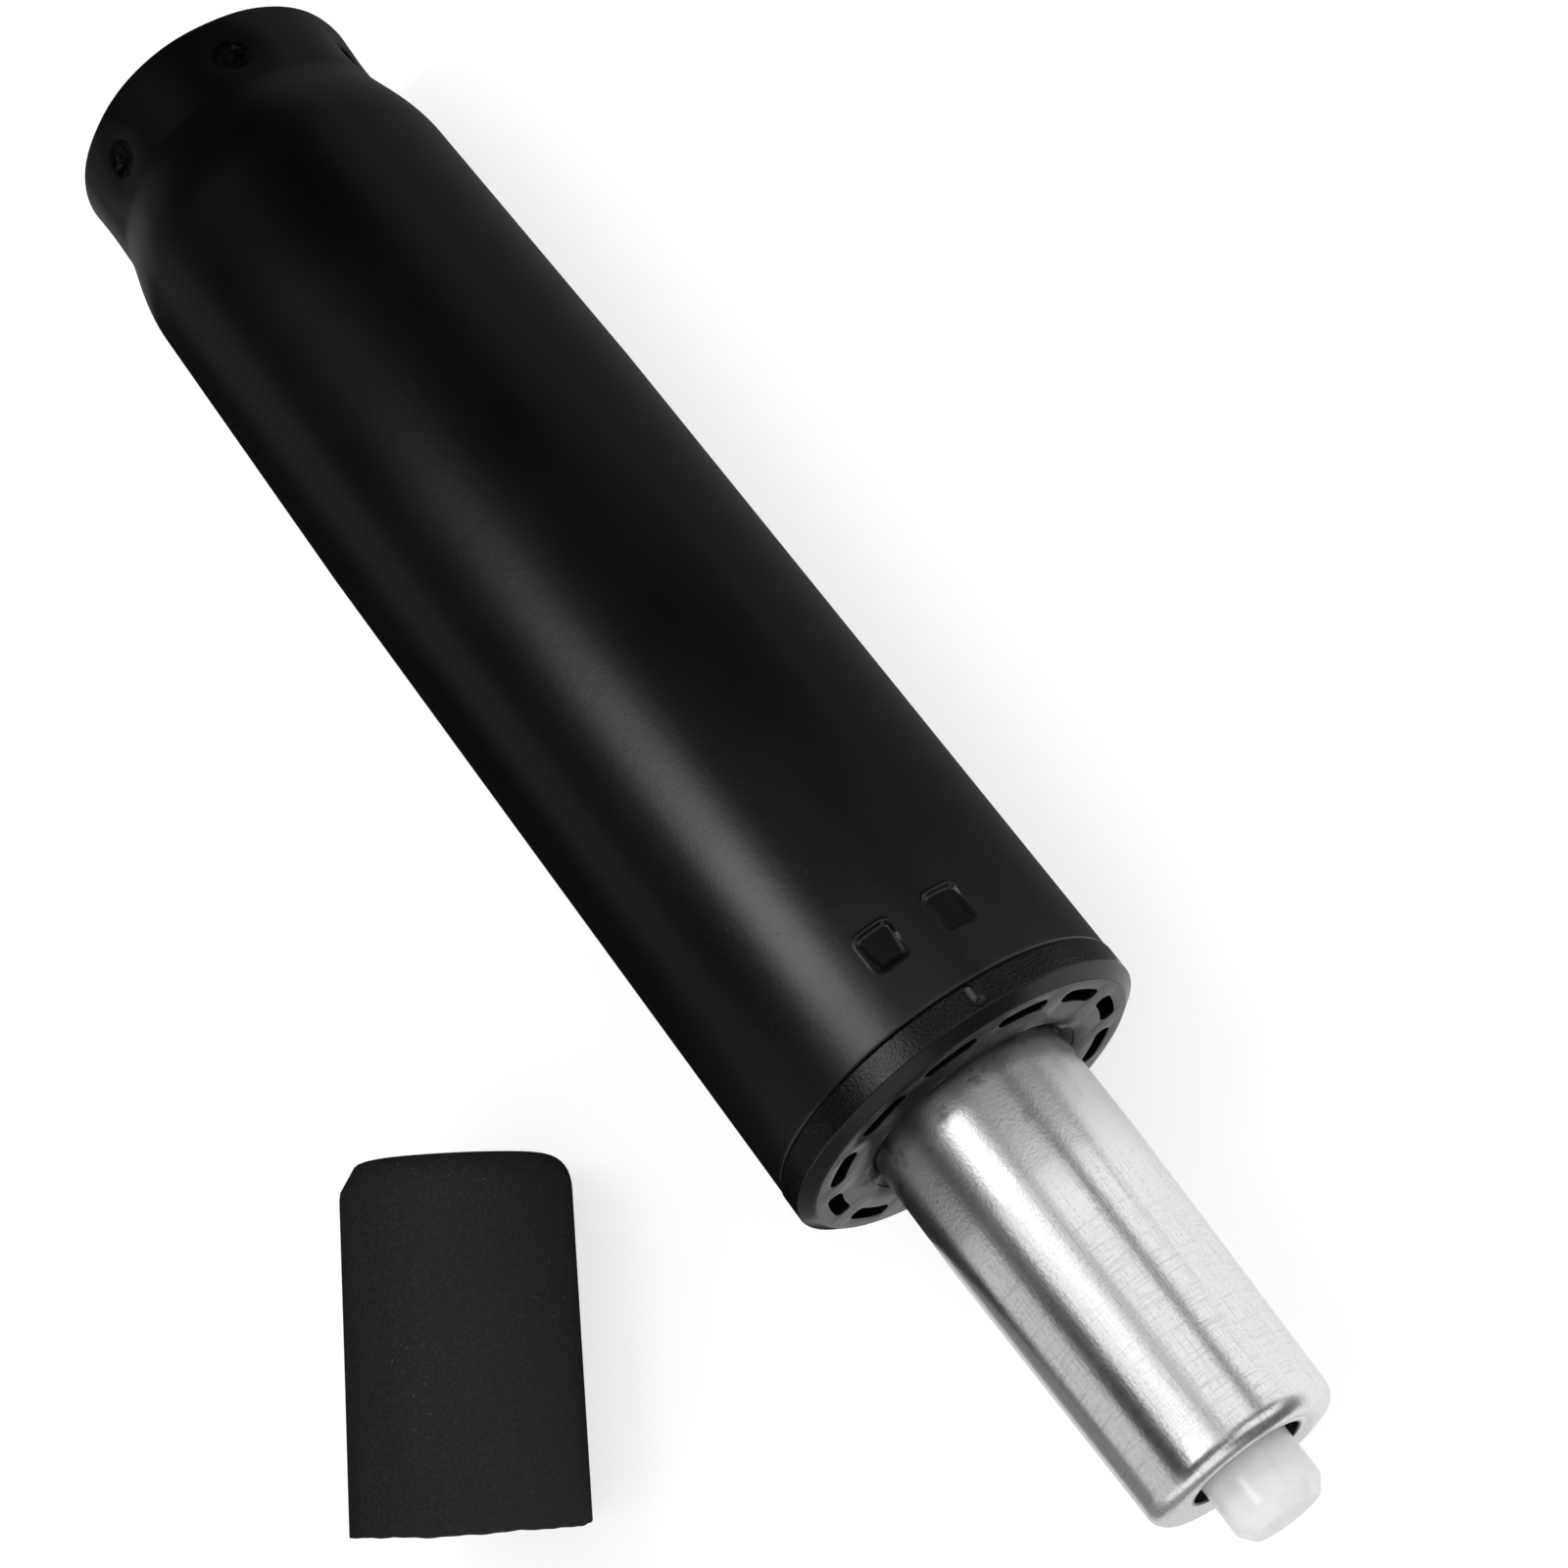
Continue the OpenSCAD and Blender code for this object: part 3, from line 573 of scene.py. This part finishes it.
def stake_drop(along, across):
    """Depth of one punched stake: a rough bowl in a soft dent."""
    swing = np.arctan2(across, along)
    distance = np.hypot(along, across)
    lobes = 0.07 * np.sin(2 * swing + 0.6) + 0.06 * np.sin(3 * swing + 2) + 0.03 * np.sin(7 * swing)
    bowl = STAKE_DEPTH * (1 - ease(distance * (1 + lobes), STAKE_R * 0.3, STAKE_R * 1.1))
    waves = np.sin(along / (0.31 * MM) + across / (0.5 * MM))
    ripple = waves * np.cos(across / (0.37 * MM) - along / (0.8 * MM))
    dent = DENT_DEPTH * np.exp(-((distance / DENT_R) ** 2))
    return np.maximum(bowl * (1 + 0.1 * ripple), dent)


def lock_drop(along, across):
    """Depth of one pressed lock pocket: sheared at the end away from the mouth, soft at the other."""
    away = box_distance(along - LOCK_LEN / 2, across, LOCK_LEN, LOCK_W, LOCK_ROUND)
    share = np.clip(along / LOCK_LEN, 0, 1)
    floor = LOCK_DEPTH + (LOCK_LIP - LOCK_DEPTH) * share
    flank = LOCK_FLANK + LOCK_RUNOUT * share**2
    drop = floor * (1 - ease(away, -flank, 0.06 * MM))
    sheared = 1 - ease(share, 0.6, 0.95)
    shear = LOCK_SHEAR * np.exp(-(((away + 0.12 * MM) / (0.15 * MM)) ** 2)) * sheared
    burr = LOCK_BURR * np.exp(-(((away - 0.18 * MM) / (0.16 * MM)) ** 2)) * sheared
    return drop + shear - burr


def press_marks(x, r, around):
    """Stakes around the neck and lock pockets near the mouth, on the tube's outside."""
    outside = r > tube_radius(x) - TUBE_WALL / 2
    degrees = np.degrees(around) - CLOCKING
    drop = np.zeros_like(r)
    for k in range(STAKE_COUNT):
        across = np.radians(turn(degrees - STAKE_TURN - k * 360 / STAKE_COUNT)) * r
        drop = np.maximum(drop, stake_drop(x - STAKE_X, across))
    for centre in LOCK_ANGLES:
        across = np.radians(turn(degrees - centre)) * r
        drop = drop + lock_drop(x - LOCK_X, across)
    return x, np.where(outside, r - drop, r)


def stand_tube():
    """The stand tube's skin, with rows close together at the stakes and the lock pockets."""
    rows = [
        np.linspace(0, RIM_ROUND, 5), np.linspace(0.7, 3.9, 8) * MM, np.linspace(4.1, 9.7, 32) * MM,
        np.linspace(10.1, 27, 30) * MM, np.linspace(30, 72, 10) * MM, np.linspace(78, 160, 12) * MM,
        LOCK_X + np.linspace(-1.5, LOCK_LEN / MM + 1.5, 90) * MM, MOUTH_X + np.linspace(-3.6, -0.7, 5) * MM,
        np.linspace(MOUTH_X - RIM_ROUND, MOUTH_X, 5),
    ]
    outer = np.concatenate(rows)
    inner = np.concatenate([np.linspace(MOUTH_X, TAPER_END, 6), np.linspace(TAPER_X, 0, 14)])
    outline = np.concatenate([
        np.stack([outer, tube_radius(outer)], axis=-1),
        np.stack([inner, tube_radius(inner) - TUBE_WALL + RIM_ROUND * (inner % MOUTH_X == 0)], axis=-1),
    ])
    stakes = [CLOCKING + STAKE_TURN + k * 360 / STAKE_COUNT for k in range(STAKE_COUNT)]
    locks = [CLOCKING + a for a in LOCK_ANGLES]
    angles = np.union1d(circle(2.5, stakes, 8, 0.55), circle(2.5, locks, 8.4, 0.32))
    angles = angles[np.append(np.diff(angles) > np.radians(0.25), True)]
    tube = dress(turned("stand_tube", outline, angles, press_marks), "stand", "tube_paint", "outer_tube")
    # Faces in the stakes' pits take the paint with painted shade.
    tube.data.materials.append(shaded_pit_paint())
    for face in tube.data.polygons:
        x, y, z = face.center
        across = turn(math.degrees(math.atan2(y, z)) - CLOCKING - STAKE_TURN + 180 / STAKE_COUNT)
        across = math.radians(across % (360 / STAKE_COUNT) - 180 / STAKE_COUNT) * NECK_R
        outside = face.normal.y * y + face.normal.z * z > 0
        if outside and math.hypot(x - STAKE_X, across) < STAKE_R * 0.9:
            face.material_index = 1
    return tube


def raise_key(x, r, around):
    """Raised key on the collar's side, standing on the tube's mouth."""
    w = np.radians(turn(np.degrees(around) - CLOCKING)) * r
    away = box_distance(x - MOUTH_X - KEY_LEN / 2, w, KEY_LEN, KEY_W, KEY_W * 0.49)
    rise = KEY_RISE * (1 - ease(away, -KEY_W * 0.55, 0.06 * MM))
    groove = KEY_GROOVE * np.exp(-(((away - 0.12 * MM) / (0.12 * MM)) ** 2))
    return x, np.where(r > COLLAR_R - RIM_ROUND, r + rise - groove, r)


def bush_collar():
    """Collar with its bevel, and the shell that seats in the tube."""
    outline = rounded([
        (BUSH_X, SHELL_IN_R, 0), (BUSH_X, SHELL_R - 1 * MM, 0), (BUSH_X + 1 * MM, SHELL_R, 0),
        (MOUTH_X, SHELL_R, 0), (MOUTH_X, COLLAR_R, 0.35 * MM), (FACE_X - BEVEL_H, COLLAR_R, 0.15 * MM),
        (FACE_X - 0.05 * MM, FACE_R + 0.02 * MM, 0.12 * MM), (FACE_X - 0.8 * MM, FACE_R - 0.4 * MM, 0),
        (FACE_X - FACE_T, FACE_R - 0.4 * MM, 0), (FACE_X - FACE_T, SHELL_IN_R, 0),
    ])
    outline = refined(outline, 0.14 * MM, MOUTH_X, FACE_X - BEVEL_H, COLLAR_R - 0.1 * MM)
    collar = turned("bush_collar", outline, circle(2, [CLOCKING], 3.6, 0.2), raise_key)
    return dress(collar, "stand", "bush_plastic", "guide_bush")


def slot_outline(k):
    """Points of one arc slot with round ends, about the axis."""
    middle = math.radians(CLOCKING - (k + 0.5) * 360 / SLOT_COUNT)
    half = (SLOT_LEN - SLOT_W) / 2 / SLOT_R
    points = []
    for side in (1, -1):
        radius = SLOT_R + side * SLOT_W / 2
        points += [(radius, middle + side * half * (t / 4 - 1)) for t in range(1, 8)]
        end = middle + side * half
        for t in range(9):
            swing = math.pi * t / 8
            across = SLOT_R + side * SLOT_W / 2 * math.cos(swing)
            points.append((across, end + side * SLOT_W / 2 * math.sin(swing) / SLOT_R))
    return [(r * math.sin(a), r * math.cos(a)) for r, a in points]


def bush_face():
    """Slotted face plate: a filled outline with holes, its edges rounded."""
    soft = 0.12 * MM
    curve = bpy.data.curves.new("bush_face", "CURVE")
    curve.dimensions = "2D"
    curve.fill_mode = "BOTH"
    curve.extrude = FACE_T / 2 - soft
    curve.bevel_depth = soft
    curve.bevel_resolution = 2
    curve.offset = -soft
    rims = [[(r * math.sin(a), r * math.cos(a)) for a in circle(2.5)] for r in (FACE_R, BORE_R + BORE_BEVEL)]
    for outline in rims + [slot_outline(k) for k in range(SLOT_COUNT)]:
        spline = curve.splines.new("POLY")
        spline.points.add(len(outline) - 1)
        for point, (u, v) in zip(spline.points, outline):
            point.co = (u, v, 0, 1)
        spline.use_cyclic_u = True
    flat = bpy.data.objects.new("bush_face_outline", curve)
    bpy.context.scene.collection.objects.link(flat)
    drawn = flat.evaluated_get(bpy.context.evaluated_depsgraph_get())
    mesh = bpy.data.meshes.new_from_object(drawn)
    bpy.data.objects.remove(flat)
    across = Matrix(((0, 0, 1, FACE_X - FACE_T / 2), (1, 0, 0, 0), (0, 1, 0, 0), (0, 0, 0, 1)))
    mesh.transform(across)
    return dress(add_object("bush_face", mesh, 30), "stand", "bush_plastic")


def bush_sleeve():
    """Sleeve that the gas spring slides in, with its bevelled bore."""
    outline = rounded([
        (BUSH_X, BORE_R + 1 * MM, 0), (BUSH_X, SLEEVE_R, 0.3 * MM), (FACE_X - 0.2 * MM, SLEEVE_R, 0),
        (FACE_X - 0.2 * MM, BORE_R + BORE_BEVEL, 0), (FACE_X - 0.8 * MM, BORE_R, 0.2 * MM),
        (BUSH_X + 1 * MM, BORE_R, 0),
    ])
    return dress(turned("bush_sleeve", outline, circle(3)), "stand", "bush_plastic")


def bush_ribs():
    """Ribs that join the sleeve and the shell, let into both."""
    inlet = 0.2 * MM
    points, faces = [], []
    corners = [(0, 0, 0), (0, 0, 1), (0, 1, 1), (0, 1, 0), (1, 0, 0), (1, 0, 1), (1, 1, 1), (1, 1, 0)]
    sides = [(0, 1, 2, 3), (4, 7, 6, 5), (0, 4, 5, 1), (1, 5, 6, 2), (2, 6, 7, 3), (3, 7, 4, 0)]
    for k in range(SLOT_COUNT):
        angle = math.radians(CLOCKING - k * 360 / SLOT_COUNT)
        out = Vector((0, math.sin(angle), math.cos(angle)))
        across = Vector((0, math.cos(angle), -math.sin(angle)))
        faces += [tuple(len(points) + i for i in side) for side in sides]
        for x, w, r in corners:
            reach = SLEEVE_R - inlet + r * (SHELL_IN_R - SLEEVE_R + 2 * inlet)
            place = out * reach + across * (w - 0.5) * RIB_W
            place.x = BUSH_X + 1 * MM + x * (FACE_X - FACE_T - BUSH_X)
            points.append(tuple(place))
    return dress(add_mesh("bush_ribs", points, faces), "stand", "bush_plastic")


def pressure_tube():
    """Gas spring's tube: straight wall, seat cone with a scribed line, rolled end and inner lip."""
    cone_end = SPRING_TOP - ROLL_R
    cone_x = cone_end - CONE_LEN
    line_x = SPRING_TOP - GROUND_LEN
    slope = (SPRING_R - CONE_SMALL_R) / CONE_LEN
    line_r = SPRING_R - (line_x - cone_x) * slope
    roll = [
        (cone_end + ROLL_R * math.sin(a), CONE_SMALL_R - ROLL_R * (1 - math.cos(a)), 0)
        for a in np.radians(np.linspace(0, 100, 14))
    ]
    outline = rounded([
        (SPRING_X, LIP_HOLE_R, 0.3 * MM), (SPRING_X, SPRING_R, 2 * MM), (cone_x, SPRING_R, 0.6 * MM),
        (line_x - LINE_HOLD, line_r + LINE_HOLD * slope, 0), (line_x - LINE_HALF, line_r, 0),
        (line_x, line_r - LINE_DEPTH, 0), (line_x + LINE_HALF, line_r, 0),
        (line_x + LINE_HOLD, line_r - LINE_HOLD * slope, 0),
        (cone_end - 0.4 * MM, CONE_SMALL_R + 0.4 * MM * slope, 0),
        *roll,
        (SPRING_TOP - 0.45 * MM, END_HOLE_R + 0.9 * MM, 0.3 * MM),
        (SPRING_TOP - 0.35 * MM, END_HOLE_R, 0.3 * MM),
        (SPRING_TOP - SPRING_WALL, END_HOLE_R, 0), (SPRING_TOP - SPRING_WALL, CONE_SMALL_R - SPRING_WALL, 0),
        (cone_x, SPRING_R - SPRING_WALL, 0), (SPRING_X + SPRING_WALL, SPRING_R - SPRING_WALL, 0),
        (SPRING_X + SPRING_WALL, LIP_HOLE_R, 0),
    ])
    return dress(turned("gas_spring_tube", outline, circle(2)), "cylinder", "spring_steel", "pressure_tube")


def release_button():
    """Nylon button with a bevelled tip and softened edges."""
    outline = rounded([
        (BUTTON_X, 0, 0), (BUTTON_X, BUTTON_R, 0.4 * MM), (BUTTON_TOP - BUTTON_BEVEL, BUTTON_R, 0.45 * MM),
        (BUTTON_TOP, BUTTON_TIP_R, 0.5 * MM), (BUTTON_TOP, 0, 0),
    ])
    button = turned("nylon_button", outline, circle(3), closed=False)
    return dress(button, "button", "button_nylon", "release_button")


def slump(x, r, around):
    """Soft cap: a little out of round above the floor, one flattened shoulder, an uneven cut at its mouth."""
    above = (1 + np.cos(around)) / 2
    oval = CAP_OVAL * np.sin(2 * around + 0.7) * (1 - ease(x, 0, CAP_LEN * 0.5)) * above
    worn = 1 - ease(np.abs(turn(np.degrees(around) - WORN_AT)), 20, 50)
    into = np.clip((x - CAP_LEN + WORN_LEN) / WORN_LEN, 0, 1)
    flat = np.minimum(r, CAP_END_R + 0.1 * MM - WORN_IN * into)
    cut = np.sin(5 * around + 0.4) + 0.7 * np.sin(13 * around + 2) + 0.5 * np.sin(29 * around)
    ragged = CAP_CUT * cut * (1 - ease(x, 0, 1.5 * MM))
    return x + ragged, r + oval * (r > CAP_ROUND) + worn * (flat - r) * (r > CAP_END_R * 0.6)


def protective_cap():
    """Slip-on cap with a thick soft wall, lying on its side."""
    inner_mouth, inner_end = CAP_MOUTH_R - CAP_WALL, CAP_END_R - CAP_WALL
    outline = rounded([
        (CAP_LEN - CAP_WALL, 0, 0), (CAP_LEN - CAP_WALL, inner_end, CAP_ROUND - CAP_WALL),
        (0, inner_mouth, 0.5 * MM), (0, CAP_MOUTH_R, 0.35 * MM), (CAP_LEN, CAP_END_R, CAP_ROUND),
        (CAP_LEN, 0, 0),
    ], steps=10)
    outline = refined(outline, 1 * MM, -1, 1, 5 * MM)
    cap = turned("vinyl_cap", outline, circle(2), slump, closed=False)
    tilt = math.atan((CAP_MOUTH_R - CAP_END_R) / CAP_LEN)
    cap.data.transform(
        Matrix.Translation((CAP_X, CAP_Y, FLOOR_Z))
        @ Matrix.Rotation(math.radians(CAP_HEADING), 4, "Z")
        @ Matrix.Rotation(tilt, 4, "Y")
        @ Matrix.Translation((0, 0, CAP_MOUTH_R))
    )
    return dress(cap, "cap", "cap_vinyl", "protective_cap")


for subpart in frame["record"]["subparts"]:
    shown = frame["nodes"][subpart["node"]]
    shown.data.materials.clear()
    shown.data.materials.append(finishes[subpart["material_slot"]])
stand_tube()
bush_collar()
bush_face()
bush_sleeve()
bush_ribs()
pressure_tube()
release_button()
protective_cap()


def ray_level(tree, camera, mirror, other):
    """Value for rays from the camera, for mirrored or transmitted rays, and for all others."""
    path = tree.nodes.new("ShaderNodeLightPath")
    mirrored = tree.nodes.new("ShaderNodeMath")
    mirrored.operation = "MAXIMUM"
    tree.links.new(path.outputs["Is Glossy Ray"], mirrored.inputs[0])
    tree.links.new(path.outputs["Is Transmission Ray"], mirrored.inputs[1])
    level = other
    for share, target in ((path.outputs["Is Camera Ray"], camera), (mirrored.outputs[0], mirror)):
        step = tree.nodes.new("ShaderNodeMath")
        step.operation = "MULTIPLY_ADD"
        tree.links.new(share, step.inputs[0])
        step.inputs[1].default_value = target - other
        if isinstance(level, bpy.types.NodeSocket):
            tree.links.new(level, step.inputs[2])
        else:
            step.inputs[2].default_value = level
        level = step.outputs[0]
    return level


def studio_floor():
    """Pale floor: white where it is seen or mirrored, with the object's shadow kept."""
    sides = [(-1, -1), (1, -1), (1, 1), (-1, 1)]
    corners = [(u * FLOOR_HALF, v * FLOOR_HALF, FLOOR_Z) for u, v in sides]
    floor = add_mesh("studio_floor", corners, [(0, 1, 2, 3)])
    material = bpy.data.materials.new("studio_floor")
    material.use_nodes = True
    material.cycles.emission_sampling = "NONE"
    tree = material.node_tree
    shader = tree.nodes["Principled BSDF"]
    shader.inputs["Roughness"].default_value = 0.9
    shader.inputs["Specular IOR Level"].default_value = 0.0
    shader.inputs["Emission Color"].default_value = (1, 1, 1, 1)
    tree.links.new(ray_level(tree, *FLOOR_GLOW), shader.inputs["Emission Strength"])
    pale = tree.nodes.new("ShaderNodeCombineColor")
    level = ray_level(tree, *FLOOR_COLOR)
    for socket in pale.inputs[:3]:
        tree.links.new(level, socket)
    tree.links.new(pale.outputs[0], shader.inputs["Base Color"])
    floor.data.materials.append(material)


def studio_world():
    """Even soft light all round, and a white background."""
    world = bpy.data.worlds.new("studio")
    bpy.context.scene.world = world
    world.use_nodes = True
    tree = world.node_tree
    background = tree.nodes["Background"]
    background.inputs["Color"].default_value = (1, 1, 1, 1)
    tree.links.new(ray_level(tree, *WORLD_LEVEL), background.inputs["Strength"])


def key_light():
    """Softbox over the column, which draws the stripe along the paint and the steel."""
    lamp = bpy.data.lights.new("softbox", "AREA")
    lamp.shape = "RECTANGLE"
    lamp.size = LAMP_WIDTH
    lamp.size_y = LAMP_LENGTH
    lamp.energy = LAMP_POWER
    light = bpy.data.objects.new("softbox", lamp)
    bpy.context.scene.collection.objects.link(light)
    light.location = LAMP_AT
    light.rotation_mode = "QUATERNION"
    light.rotation_quaternion = (LAMP_AIM - LAMP_AT).to_track_quat("-Z", "Y")


def card(name, level, corners, faces):
    """Studio card of a grey level that only reflections show."""
    sheet = add_mesh(name, corners, faces)
    sheet.visible_camera = False
    sheet.visible_diffuse = False
    sheet.visible_shadow = False
    material = bpy.data.materials.new(name)
    material.use_nodes = True
    material.cycles.emission_sampling = "NONE"
    shader = material.node_tree.nodes["Principled BSDF"]
    shader.inputs["Base Color"].default_value = (0, 0, 0, 1)
    shader.inputs["Specular IOR Level"].default_value = 0.0
    shader.inputs["Emission Color"].default_value = (1, 1, 1, 1)
    shader.inputs["Emission Strength"].default_value = level
    sheet.data.materials.append(material)


def arch(name, level, low_x, high_x, low, high, reach):
    """Card bent about the column's axis, from one angle to another."""
    angles = np.radians(np.linspace(low, high, 2 + int(high - low) // 6))
    corners = [(x, reach * math.sin(a), reach * math.cos(a)) for a in angles for x in (low_x, high_x)]
    card(name, level, corners, [(2 * k, 2 * k + 1, 2 * k + 3, 2 * k + 2) for k in range(len(angles) - 1)])


def end_wall(name, level, low, high, x, reach):
    """Card across the column's axis, a sector from one angle to another."""
    angles = np.radians(np.linspace(low, high, 9))
    rim = [(x, reach * math.sin(a), FLOOR_Z + reach * math.cos(a)) for a in angles]
    card(name, level, [(x, 0, FLOOR_Z)] + rim, [tuple(range(len(rim) + 1))])


def floor_card(name, level, corners):
    """Card that lies on the floor beside the column."""
    z = FLOOR_Z + 0.5 * MM
    card(name, level, [(x, y, z) for x, y in corners], [tuple(range(len(corners)))])


def photo_camera():
    """Camera at the photo's viewing angle, rolled as the photo is."""
    data = bpy.data.cameras.new("camera")
    data.sensor_width = CAMERA_SENSOR
    data.lens = CAMERA_LENS
    data.clip_start = 0.01
    data.clip_end = 50
    camera = bpy.data.objects.new("camera", data)
    bpy.context.scene.collection.objects.link(camera)
    camera.location = CAMERA_AT
    camera.rotation_mode = "QUATERNION"
    roll = Quaternion((0, 0, 1), math.radians(CAMERA_ROLL))
    camera.rotation_quaternion = (CAMERA_AIM - CAMERA_AT).to_track_quat("-Z", "Y") @ roll
    bpy.context.scene.camera = camera


studio_floor()
studio_world()
key_light()
for row in WALLS:
    end_wall(*row)
for row in ARCHES:
    arch(*row)
for row in FLOOR_CARDS:
    floor_card(*row)
photo_camera()
bpy.context.scene.view_settings.view_transform = "Standard"
